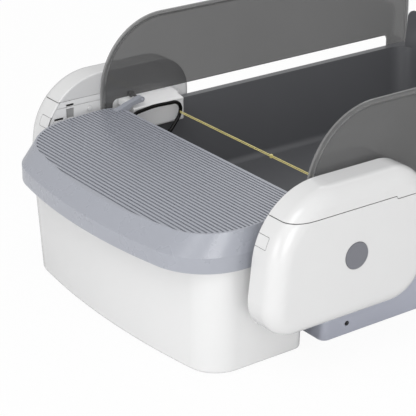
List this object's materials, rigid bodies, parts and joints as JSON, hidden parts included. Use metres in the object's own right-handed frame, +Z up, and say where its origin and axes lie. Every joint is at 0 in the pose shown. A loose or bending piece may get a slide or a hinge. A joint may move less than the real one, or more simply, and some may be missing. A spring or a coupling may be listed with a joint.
{
  "type": "self-cleaning litter box",
  "caption": "Self-cleaning litter box: dark tray with smoky side shields, ribbed step lid over a white waste bin, and a motor carriage with side pods and rake",
  "frame": {"origin": "on the floor under the middle of the box, halfway between the front of the lid and the back of the base", "axes": "X across the box from its left pod to its right pod, Y from the waste bin (-Y) to the back (+Y), Z up"},
  "size_m": [0.545, 0.724, 0.306],
  "materials": {
    "base_shell": "satin blue-grey",
    "tray": "satin dark grey",
    "tint": "smoky transparent",
    "bin": "glossy white",
    "lid": "satin blue-grey with ribs",
    "pod": "glossy white",
    "pod_inner": "satin light grey",
    "cap": "satin grey",
    "black_rod": "gloss black",
    "brass_wire": "polished",
    "steel": "zinc plated",
    "rubber": "matte",
    "gear": "natural acetal",
    "motor": "satin",
    "rake_plastic": "satin dark grey",
    "battery": "shrink wrap",
    "board": "lacquered board",
    "socket": "black"
  },
  "bodies": {
    "base": {"base_frame": "base_shell", "base_plate": "base_shell", "foot_pads": "rubber", "litter_tray": "tray", "shield_screws": "steel", "base_screws": "steel", "lid_pins": "steel", "side_shield_left": "tint", "side_shield_right": "tint", "side_rail_left": "gear", "side_rail_right": "gear"},
    "bin": {"waste_bin": "bin", "bin_feet": "rubber"},
    "lid": {"step_lid": "lid"},
    "carriage": {"pod_shell_left": "pod", "pod_shell_right": "pod", "pod_cover_left": "pod", "pod_cover_right": "pod", "pod_backplate_left": "pod_inner", "pod_backplate_right": "pod_inner", "axle_cap_left": "cap", "axle_cap_right": "cap", "carriage_arm_left": "pod_inner", "carriage_arm_right": "pod_inner", "arm_panel_left": "pod_inner", "arm_panel_right": "pod_inner", "drive_motor_left": "motor", "drive_motor_right": "motor", "roller_pins": "steel", "pod_screws": "steel", "battery_pack": "battery", "control_board": "board", "dc_socket": "socket"},
    "rake": {"rake_bar": "rake_plastic", "rake_comb": "rake_plastic", "rake_wires": "brass_wire", "wire_clip": "rake_plastic", "rake_hoop_left": "black_rod", "rake_hoop_right": "black_rod"},
    "drive_left": {"drive_gear_left": "gear"},
    "pinion_left": {"motor_pinion_left": "gear"},
    "roller_front_left": {"roller_front_left": "gear"},
    "roller_back_left": {"roller_back_left": "gear"},
    "button_left": {"button_left": "pod"},
    "drive_right": {"drive_gear_right": "gear"},
    "pinion_right": {"motor_pinion_right": "gear"},
    "roller_front_right": {"roller_front_right": "gear"},
    "roller_back_right": {"roller_back_right": "gear"},
    "button_right": {"button_right": "pod"}
  },
  "joints": [
    {"name": "carriage_slide", "type": "slide", "parent": "base", "child": "carriage", "axis": [0, 1, 0], "range_m": [0, 0.375]},
    {"name": "rake_tilt", "type": "hinge", "parent": "carriage", "child": "rake", "pos_m": [0, -0.136, 0.15], "axis": [-1, 0, 0], "range_deg": [0, 100]},
    {"name": "lid_hinge", "type": "hinge", "parent": "base", "child": "lid", "pos_m": [0, -0.144, 0.199], "axis": [-1, 0, 0], "range_deg": [0, 75]},
    {"name": "bin_slide", "type": "slide", "parent": "base", "child": "bin", "axis": [0, -1, 0], "range_m": [0, 0.2]},
    {"name": "drive_gear_left_spin", "type": "hinge", "parent": "carriage", "child": "drive_left", "pos_m": [-0.217, -0.158, 0.146], "axis": [1, 0, 0], "continuous": true},
    {"name": "motor_pinion_left_spin", "type": "hinge", "parent": "carriage", "child": "pinion_left", "pos_m": [-0.234, -0.122, 0.146], "axis": [1, 0, 0], "continuous": true},
    {"name": "roller_front_left_spin", "type": "hinge", "parent": "carriage", "child": "roller_front_left", "pos_m": [-0.217, -0.206, 0.1097], "axis": [1, 0, 0], "continuous": true},
    {"name": "roller_back_left_spin", "type": "hinge", "parent": "carriage", "child": "roller_back_left", "pos_m": [-0.217, -0.098, 0.1097], "axis": [1, 0, 0], "continuous": true},
    {"name": "button_left_press", "type": "slide", "parent": "carriage", "child": "button_left", "axis": [0, 1, 0], "range_m": [0, 0.0015], "stiffness_N_per_m": 300, "springref_m": -0.002},
    {"name": "drive_gear_right_spin", "type": "hinge", "parent": "carriage", "child": "drive_right", "pos_m": [0.217, -0.158, 0.146], "axis": [1, 0, 0], "continuous": true},
    {"name": "motor_pinion_right_spin", "type": "hinge", "parent": "carriage", "child": "pinion_right", "pos_m": [0.234, -0.122, 0.146], "axis": [1, 0, 0], "continuous": true},
    {"name": "roller_front_right_spin", "type": "hinge", "parent": "carriage", "child": "roller_front_right", "pos_m": [0.217, -0.206, 0.1097], "axis": [1, 0, 0], "continuous": true},
    {"name": "roller_back_right_spin", "type": "hinge", "parent": "carriage", "child": "roller_back_right", "pos_m": [0.217, -0.098, 0.1097], "axis": [1, 0, 0], "continuous": true},
    {"name": "button_right_press", "type": "slide", "parent": "carriage", "child": "button_right", "axis": [0, 1, 0], "range_m": [0, 0.0015], "stiffness_N_per_m": 300, "springref_m": -0.002}
  ],
  "couplings": [
    {"joint": "drive_gear_left_spin", "follows": "carriage_slide", "rad_per_m": -62.5},
    {"joint": "motor_pinion_left_spin", "follows": "carriage_slide", "rad_per_m": 187.5},
    {"joint": "roller_front_left_spin", "follows": "carriage_slide", "rad_per_m": 166.67},
    {"joint": "roller_back_left_spin", "follows": "carriage_slide", "rad_per_m": 166.67},
    {"joint": "drive_gear_right_spin", "follows": "carriage_slide", "rad_per_m": -62.5},
    {"joint": "motor_pinion_right_spin", "follows": "carriage_slide", "rad_per_m": 187.5},
    {"joint": "roller_front_right_spin", "follows": "carriage_slide", "rad_per_m": 166.67},
    {"joint": "roller_back_right_spin", "follows": "carriage_slide", "rad_per_m": 166.67}
  ]
}
